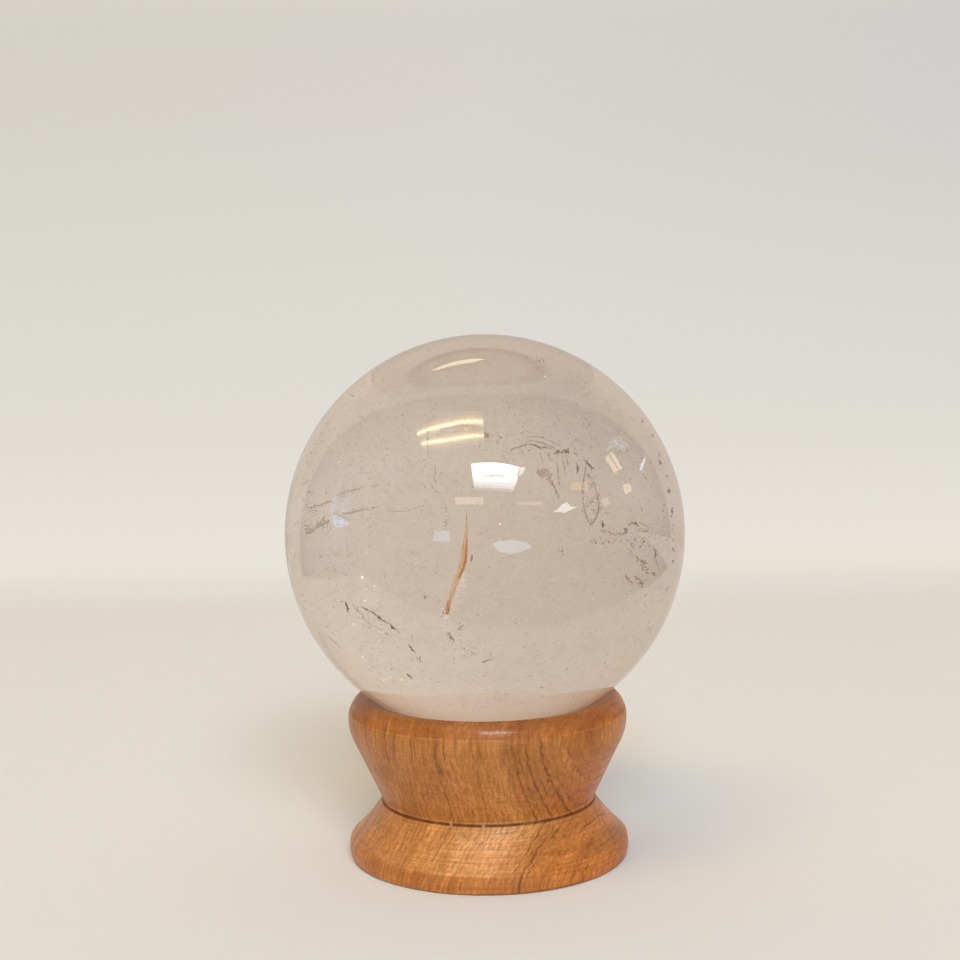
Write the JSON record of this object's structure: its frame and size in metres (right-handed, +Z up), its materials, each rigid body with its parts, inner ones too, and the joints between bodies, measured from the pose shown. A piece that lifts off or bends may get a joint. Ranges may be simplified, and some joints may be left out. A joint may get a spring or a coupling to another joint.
{
  "type": "quartz sphere on wooden stand",
  "caption": "Polished clear-to-tan quartz sphere resting in the dished top of a turned hourglass wooden stand with a V waist and a flat foot.",
  "frame": {"origin": "centre of the stand's flat underside, on the surface it stands on", "axes": "+Z up along the common axis of stand and sphere; +X to the right and -Y towards the viewer in the usual front view"},
  "size_m": [0.076, 0.076, 0.0995],
  "materials": {
    "quartz": "polished natural quartz, faintly smoky tan, with inclusions",
    "turned_wood": "turned hardwood, satin varnish"
  },
  "bodies": {
    "root": {"quartz_sphere": "quartz", "wooden_stand": "turned_wood"}
  },
  "joints": []
}
